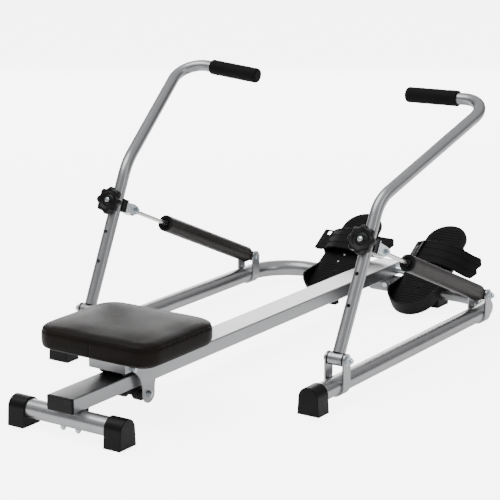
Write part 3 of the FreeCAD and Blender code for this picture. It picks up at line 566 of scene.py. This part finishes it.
def seat_stitches(pad):
    """Thread of the seams: two rows along the upper one and one beside the upright one."""
    bm = bmesh.new()
    ring = rounded_ring(SEAT_HALF_X, SEAT_HALF_Y, SEAT_CORNER, STITCH_PLACES)

    def on_pad(x, y, rise):
        start = Vector((SEAT_MIDDLE.x + x * OUTSIDE, SEAT_MIDDLE.y + y * OUTSIDE, SEAT_LOW.z + rise))
        inwards = Vector((SEAT_MIDDLE.x, SEAT_MIDDLE.y, start.z)) - start
        _, place, normal, _ = pad.ray_cast(start, inwards.normalized())
        return place + normal * STITCH_LIFT

    for rise in (SEAM_RISE - ROW_OFFSET, SEAM_RISE + ROW_OFFSET):
        for i in range(0, len(ring), 2):
            stitch(bm, on_pad(*ring[i], rise), on_pad(*ring[(i + 1) % len(ring)], rise))
    for rise in UPRIGHT_RISES_MM:
        stitch(bm, on_pad(UPRIGHT_OFFSET, -SEAT_HALF_Y, rise / 1000),
               on_pad(UPRIGHT_OFFSET, -SEAT_HALF_Y, rise / 1000 + UPRIGHT_STITCH))
    return place_object("seat_thread", bm)


seat_pad = seat_blank()
inflate(seat_pad)
sew(seat_pad)
bpy.context.view_layer.update()
settled(seat_pad, "seat", "vinyl", "seat_cushion")
settled(seat_stitches(seat_pad), "seat", "vinyl")

# ---------------------------------------------------------------- grips
# (distance from the near end, radius) up to the long middle, then (distance from the far end, radius)
GRIP_NEAR = ((0.0004, 0.0150), (0.0002, 0.0166), (0.0006, 0.0178), (0.0016, 0.0186), (0.0032, 0.0190),
             (0.006, 0.0188))
GRIP_FAR = ((0.0070, 0.0189), (0.0040, 0.0184), (0.0020, 0.0174), (0.0007, 0.0156), (0.0001, 0.0120),
            (0.0001, 0.0060))
GRIP_START = 0.006
GRIP_ENDS = 0.014
GRIP_RADIUS = 0.0188
GRIP_STEPS = 22
GRIP_SWELL = 0.00015
GRIP_SWELLS = 19

for side_name, side in SIDES:
    start, direction, length = along_node(f"grip_{side_name}", Vector((-side, 0, 0)))
    profile = list(GRIP_NEAR)
    for step in range(1, GRIP_STEPS):
        share = step / GRIP_STEPS
        profile.append((GRIP_START + share * (length - GRIP_ENDS),
                        GRIP_RADIUS + GRIP_SWELL * math.sin(share * GRIP_SWELLS)))
    profile += [(length - back, radius) for back, radius in GRIP_FAR]
    grip = place_lofts(f"foam_grip_{side_name}", turned(profile, start, direction))
    settled(grip, f"lever_{side_name}", "grip_foam", f"grip_{side_name}")

# ---------------------------------------------------------------- knobs
# (distance from the lever in metres, share of the lobes, radius in millimetres)
KNOB_ROWS = ((0.0000, 0, 13.2), (0.0006, 0, 13.9), (0.0062, 0, 14.0), (0.0074, 0.55, 20.0),
             (0.0076, 0.9, 29.0), (0.0086, 1, 30.6), (0.0110, 1, 31.2), (0.0200, 1, 31.2),
             (0.0222, 1, 30.6), (0.0236, 0.95, 29.2), (0.0240, 0.7, 26.4), (0.0240, 0.2, 22.4),
             (0.0235, 0, 21.0), (0.0215, 0, 19.6), (0.0205, 0, 18.2), (0.0204, 0, 15.0),
             (0.0208, 0, 12.4), (0.0228, 0, 11.3), (0.0238, 0, 10.4), (0.0240, 0, 9.0),
             (0.0232, 0, 7.6), (0.0212, 0, 6.6))
KNOB_POINTS = 192
KNOB_LOBES = 8
LOBE_DEPTH = 2.6
LOBE_POWER = 0.7
KNOB_MARGIN = 0.0001
DOME = ((0.0, 0.0063), (0.0012, 0.0063), (0.0021, 0.0056), (0.0028, 0.0040), (0.0031, 0.0020))
DOME_POINTS = 40
DOME_SUNK = 0.0008


def lobed_rings(base, outwards, deep):
    """Rings of a knob from the lever outwards, with round lobes on its rim."""
    across = Vector((1, 0, 0))
    up = outwards.cross(across)
    rings = []
    for away, share, plain in KNOB_ROWS:
        middle = base + outwards * min(away, deep - KNOB_MARGIN)
        ring = []
        for step in range(KNOB_POINTS):
            angle = 2 * math.pi * step / KNOB_POINTS
            lobe = math.cos(angle * KNOB_LOBES)
            bulge = share * math.copysign(LOBE_DEPTH * abs(lobe) ** LOBE_POWER, lobe)
            radius = (plain + bulge) / 1000
            ring.append(middle + across * (radius * math.cos(angle)) + up * (radius * math.sin(angle)))
        rings.append(ring)
    return rings


for side_name, _ in SIDES:
    joint = JOINTS[f"knob_{side_name}_turn"]
    outwards = Vector(joint["axis"]).normalized()
    if outwards.y > 0:
        outwards.negate()
    centre = Vector(joint["pos_m"])
    reach = (node_points(f"knob_{side_name}") - np.array(centre)) @ np.array(outwards)
    base = centre + outwards * float(reach.min())
    deep = float(reach.max() - reach.min())
    knob = place_lofts(f"lobed_knob_{side_name}", lobed_rings(base, outwards, deep))
    settled(knob, f"knob_{side_name}", "knob_plastic", f"knob_{side_name}")
    dome_base = base + outwards * (deep - DOME_SUNK)
    dome = place_lofts(f"knob_centre_{side_name}", turned(DOME, dome_base, outwards, DOME_POINTS))
    settled(dome, f"knob_{side_name}", "zinc")

# ---------------------------------------------------------------- pedals and straps
# Sizes here are in millimetres, in a pedal's own frame: X across, Y from heel to toe, Z out of the sole.
PEDAL_TILT = math.radians(33.6)
SOLE = 17.4

# the strap, from its lug over the foot to its loose end
STRAP_CORNERS = ((-67, 25), (-35, 38), (25, 38), (66, 22.5))
STRAP_LUG = -67
STRAP_START = 12
STRAP_TAILS = {"left": ((122, 22.5),), "right": ((94, 3), (118, -4))}
STRAP_BEND = 24
BEND_SHARE = 0.48
BEND_STEPS = 8
STRAP_PITCH = 4.0
STRAP_REAR = 8.0
STRAP_WIDE = 76.0
STRAP_ROUNDING = 2.4
STRAP_COLUMNS = 19
STRAP_THICK_M = 0.0031
STRAP_EDGE_M = 0.0008
STRAP_SHARP = math.radians(50)
TAIL_NARROWING = (0.80, 0.91, 0.97)
TAIL_LOBES = (3.2, 1.6, 0.6)

# its ribs
RIB_START = 14
RIB_TAILS = {"left": ((116, 22.5),), "right": ((94, 3), (112, -2.3))}
RIB_PLACES = (12.0, 33.0, 59.0, 80.0)
RIB_OUTLINE = ((-1.6, 0), (-1.3, 0.9), (-0.5, 1.3), (0.5, 1.3), (1.3, 0.9), (1.6, 0))
RIB_LIFT = 1.35
UPRIGHT = 0.9

# the buckle: place and turn of each side's, then its bars as (centre, size)
BUCKLES = {"left": ((-66, 46, 22), 0), "right": ((-40, 46, 40), -26)}
BUCKLE_BARS = (((-27, 0), (9, 70)), ((-4, 0), (8, 70)), ((-16, -33), (30, 4)), ((-16, 33), (30, 4)),
               ((-16, -10), (18, 54)), ((-20, 0), (2.4, 66)))
BUCKLE_ROWS = ((0.8, -2.0), (0.2, -1.6), (0, -1.0), (0, 1.0), (0.2, 1.6), (0.8, 2.0))
BUCKLE_CORNER = 1.1
BUCKLE_POINTS = 40

# the tread: pitch of its bars, half length of the longest and half width of a bar
TREAD_PITCH = 9
TREAD_REACH = 46
TREAD_HALF = 1.3
TREAD_CORNER = 1.25
TREAD_POINTS = 24
TREAD_ROWS = ((0.0, -0.6), (0.0, 0.5), (0.4, 0.95), (0.9, 1.1))
HEEL_BARS = range(-132, -16, TREAD_PITCH)
HEEL_ROUND, HEEL_RADIUS = -88, 60
TOE_BARS = range(94, 152, TREAD_PITCH)
TOE_ROUND, TOE_RADIUS, TOE_REACH = 107, 50, 44
SHORTEST = 0.05
GROOVE_FROM, GROOVE_TO, GROOVE_HALF = -80, -50, 7.0

# the screw heads on the sole, with their profile in metres
SCREWS = ((-1.0, 6.0), (-8.0, -20.0))
SCREW_DOME = ((-0.0010, 0.0034), (0.0004, 0.0034), (0.0011, 0.0029), (0.0016, 0.0019), (0.0016, 0.0010),
              (0.0009, 0.0008))
SCREW_POINTS = 32


def pedal_matrix(side_name):
    """From a pedal's own frame to the machine's, both in metres."""
    pivot = Matrix.Translation(JOINTS[f"pedal_{side_name}_tilt"]["pos_m"])
    return pivot @ Matrix.Rotation(PEDAL_TILT, 4, "X")


def to_pedal(holder, side_name):
    """Moves a piece drawn in millimetres in the pedal's own frame to where it belongs."""
    holder.data.transform(Matrix.Scale(MM, 4))
    holder.data.transform(pedal_matrix(side_name))
    return holder


def smooth_line(corners, radius, pitch):
    """Even points along straight runs joined by arcs, in one plane."""
    dense = [Vector(corners[0])]
    for before, corner, after in zip(corners, corners[1:], corners[2:]):
        before, corner, after = Vector(before), Vector(corner), Vector(after)
        reach = min(radius, (corner - before).length * BEND_SHARE, (after - corner).length * BEND_SHARE)
        a = corner + (before - corner).normalized() * reach
        b = corner + (after - corner).normalized() * reach
        for step in range(BEND_STEPS + 1):
            t = step / BEND_STEPS
            dense.append(a * (1 - t) ** 2 + corner * 2 * t * (1 - t) + b * t ** 2)
    dense.append(Vector(corners[-1]))
    points = np.array(dense)
    length = np.cumsum(np.linalg.norm(np.diff(points, axis=0), axis=1))[-1]
    return spaced(points, max(4, int(round(length / pitch))) + 1)


def strap_line(start, tail):
    """The strap's course seen along the pedal, from its lug to the end of its tail."""
    return smooth_line([(STRAP_LUG, start), *STRAP_CORNERS, *tail], STRAP_BEND, STRAP_PITCH)


def strap_piece(side_name):
    """Rubber instep strap: a moulded band that narrows to a lobed tail."""
    line = strap_line(STRAP_START, STRAP_TAILS[side_name])
    bm = bmesh.new()
    grid = []
    for left, (x, z) in zip(range(len(line) - 1, -1, -1), line):
        narrow = TAIL_NARROWING[left] if left < len(TAIL_NARROWING) else 1.0
        lobes = TAIL_LOBES[left] if left < len(TAIL_LOBES) else 0
        row = []
        for k in range(STRAP_COLUMNS + 1):
            share = k / STRAP_COLUMNS
            y = STRAP_REAR + STRAP_WIDE / 2 + (STRAP_WIDE - STRAP_ROUNDING) * (share - 0.5) * narrow
            row.append(bm.verts.new((x - lobes * math.cos(4 * math.pi * share), y, z)))
        grid.append(row)
    for row, after in zip(grid, grid[1:]):
        for k in range(STRAP_COLUMNS):
            bm.faces.new((row[k], after[k], after[k + 1], row[k + 1]))
    bmesh.ops.recalc_face_normals(bm, faces=bm.faces)
    strap = to_pedal(place_object(f"instep_strap_{side_name}", bm), side_name)
    modifier(strap, "SOLIDIFY", thickness=STRAP_THICK_M, offset=0)
    modifier(strap, "BEVEL", width=STRAP_EDGE_M, segments=2, limit_method="ANGLE", angle_limit=STRAP_SHARP)
    modifier(strap, "SUBSURF", levels=1, render_levels=1)
    return baked(strap)


def strap_ribs(side_name):
    """Four ribs moulded along the strap's outer face."""
    line = strap_line(RIB_START, RIB_TAILS[side_name])
    ribs = []
    for middle_y in RIB_PLACES:
        rings = []
        for i, (x, z) in enumerate(line):
            before, after = line[max(0, i - 1)], line[min(len(line) - 1, i + 1)]
            tangent = Vector((after[0] - before[0], 0, after[1] - before[1])).normalized()
            normal = tangent.cross(Vector((0, -1, 0)))
            if abs(tangent.z) >= UPRIGHT:
                normal = Vector((-1, 0, 0))
            elif normal.z < 0:
                normal.negate()
            centre = Vector((x, middle_y, z)) + normal * RIB_LIFT
            rings.append([centre + Vector((0, a, 0)) + normal * b for a, b in RIB_OUTLINE])
        ribs.append(rings)
    return to_pedal(place_lofts(f"strap_ribs_{side_name}", *ribs), side_name)


def buckle(side_name):
    """Frame at the strap's lug, with a bar across it and a small tongue."""
    place, lean = BUCKLES[side_name]
    middle = Matrix.Translation(place) @ Matrix.Rotation(math.radians(lean), 4, "Y")
    bars = []
    for (x, y), (long, wide) in BUCKLE_BARS:
        outline = rounded_ring(long / 2, wide / 2, BUCKLE_CORNER, BUCKLE_POINTS)
        rings = []
        for inset, z in BUCKLE_ROWS:
            scale_x, scale_y = 1 - 2 * inset / long, 1 - 2 * inset / wide
            rings.append([middle @ Vector((x + px * scale_x, y + py * scale_y, z)) for px, py in outline])
        bars.append(rings)
    return to_pedal(place_lofts(f"strap_buckle_{side_name}", *bars), side_name)


def bar_reach(reach, past, radius):
    """Half length of a tread bar, less the further it lies past the straight part of the sole."""
    if past <= 0:
        return TREAD_REACH
    return reach * math.sqrt(max(SHORTEST, 1 - (past / radius) ** 2))


def tread(side_name):
    """Raised grip bars on the sole, shorter towards the heel and the toe."""
    rows = [(y, bar_reach(TREAD_REACH, HEEL_ROUND - y, HEEL_RADIUS)) for y in HEEL_BARS]
    rows += [(y, bar_reach(TOE_REACH, y - TOE_ROUND, TOE_RADIUS)) for y in TOE_BARS]
    bars = []
    for y, half in rows:
        spans = [(-half, half)]
        if GROOVE_FROM < y < GROOVE_TO:
            spans = [(-half, -GROOVE_HALF), (GROOVE_HALF, half)]
        for start, end in spans:
            outline = rounded_ring((end - start) / 2, TREAD_HALF, TREAD_CORNER, TREAD_POINTS)
            rings = []
            for inset, z in TREAD_ROWS:
                scale_x, scale_y = 1 - 2 * inset / (end - start), 1 - inset / TREAD_HALF
                rings.append([((start + end) / 2 + px * scale_x, y + py * scale_y, SOLE + z)
                              for px, py in outline])
            bars.append(rings)
    return to_pedal(place_lofts(f"sole_tread_{side_name}", *bars), side_name)


def sole_screws(side_name):
    """Two small domed screw heads that hold the hub block to the sole."""
    place = pedal_matrix(side_name)
    out_of_sole = place.to_3x3() @ Vector((0, 0, 1))
    heads = [turned(SCREW_DOME, place @ (Vector((x, y, SOLE)) / 1000), out_of_sole, SCREW_POINTS)
             for x, y in SCREWS]
    return place_lofts(f"sole_screws_{side_name}", *heads)


for side_name, _ in SIDES:
    rider = f"pedal_{side_name}"
    settled(sole_screws(side_name), rider, "zinc")
    settled(strap_piece(side_name), rider, "strap_rubber", f"pedal_strap_{side_name}")
    settled(strap_ribs(side_name), rider, "strap_rubber")
    settled(buckle(side_name), rider, "pedal_plastic")
    settled(tread(side_name), rider, "pedal_plastic")

# ---------------------------------------------------------------- soft edges on the CAD parts
# nodes and the width in millimetres that their sharp edges are rounded by
EDGES = (
    (("rail_cap_rear", "rail_cap_front"), 1.6),
    (("rear_foot_left", "rear_foot_right", "arm_foot_left", "arm_foot_right"), 1.4),
    (("front_feet", "seat_stops"), 1.5),
    (("main_rail",), 0.5),
    (("pedal_left", "pedal_right"), 0.9),
)
SHARP = math.radians(40)
for names, width in EDGES:
    for name in names:
        modifier(NODES[name], "BEVEL", width=width / 1000, segments=3, limit_method="ANGLE",
                 angle_limit=SHARP)

# ---------------------------------------------------------------- camera, floor, light
# The floor and the sky look near white to the camera and give the object less light than that.
FLOOR_GLOW = 0.55
BACKDROP_GLOW = 5.5
SKY_STRENGTH = 0.95
FLOOR_REACH = 40
FLOOR_DROP = 0.0004

camera = bpy.data.objects.new("camera", bpy.data.cameras.new("camera"))
camera.location = (2.3110, -3.4726, 1.3012)
camera.rotation_euler = (math.radians(75.86), 0, math.radians(33.91))
camera.data.lens = 131.10
camera.data.sensor_width = 36
camera.data.clip_end = 200
bpy.context.scene.collection.objects.link(camera)
bpy.context.scene.camera = camera

floor_look = Look("floor")
cloudy = floor_look.noise(0.8, 2)
floor_look.colour(floor_look.ramp(cloudy, (0.3, (0.88, 0.88, 0.88)), (0.7, (0.91, 0.91, 0.91))))
floor_look.roughness(floor_look.spread(floor_look.noise(3, 3), 0.3, 0.7, 0.9, 0.98))
floor_look.shader.inputs["Emission Color"].default_value = (1, 1, 1, 1)
seen = floor_look.add("ShaderNodeLightPath").outputs["Is Camera Ray"]
glow = floor_look.spread(seen, 0, 1, FLOOR_GLOW, BACKDROP_GLOW)
floor_look.link(glow, floor_look.shader.inputs["Emission Strength"])
floor_mesh = bpy.data.meshes.new("floor")
floor_corners = [(x * FLOOR_REACH, y * FLOOR_REACH, 0) for x, y in ((-1, -1), (1, -1), (1, 1), (-1, 1))]
floor_mesh.from_pydata(floor_corners, [], [(0, 1, 2, 3)])
floor_mesh.materials.append(floor_look.material)
floor = bpy.data.objects.new("floor", floor_mesh)
floor.location.z = cad_box[0][2] - FLOOR_DROP
bpy.context.scene.collection.objects.link(floor)


def lamp(name, place, target, size, power):
    """A rectangular area light that the camera doesn't see."""
    data = bpy.data.lights.new(name, "AREA")
    data.shape = "RECTANGLE"
    data.size, data.size_y = size
    data.energy = power
    holder = bpy.data.objects.new(name, data)
    holder.location = place
    holder.rotation_euler = (Vector(target) - Vector(place)).to_track_quat("-Z", "Y").to_euler()
    holder.visible_camera = False
    bpy.context.scene.collection.objects.link(holder)


lamp("key", (-1.2, -1.6, 4.2), (0, 0, 0.2), (3.2, 3.2), 150)
lamp("side", (4.4, -0.6, 2.0), (0, 0, 0.3), (1.2, 3.0), 30)
lamp("back", (-2.5, 3.7, 1.35), (0, 0, 0.2), (3.4, 1.5), 85)

world = bpy.data.worlds.new("studio")
bpy.context.scene.world = world
world.use_nodes = True
sky = world.node_tree
background = sky.nodes["Background"]
place = sky.nodes.new("ShaderNodeTexCoord")
split = sky.nodes.new("ShaderNodeSeparateXYZ")
shade = sky.nodes.new("ShaderNodeValToRGB")
horizon, zenith = shade.color_ramp.elements
horizon.position = 0.02
horizon.color = (0.10, 0.10, 0.105, 1)
zenith.position = 0.75
zenith.color = (1.0, 1.0, 1.0, 1)
sky.links.new(place.outputs["Generated"], split.inputs[0])
sky.links.new(split.outputs["Z"], shade.inputs["Fac"])
sky.links.new(shade.outputs["Color"], background.inputs["Color"])
rays = sky.nodes.new("ShaderNodeLightPath")
strength = sky.nodes.new("ShaderNodeMapRange")
strength.inputs["To Min"].default_value = SKY_STRENGTH
strength.inputs["To Max"].default_value = BACKDROP_GLOW
sky.links.new(rays.outputs["Is Camera Ray"], strength.inputs["Value"])
sky.links.new(strength.outputs["Result"], background.inputs["Strength"])
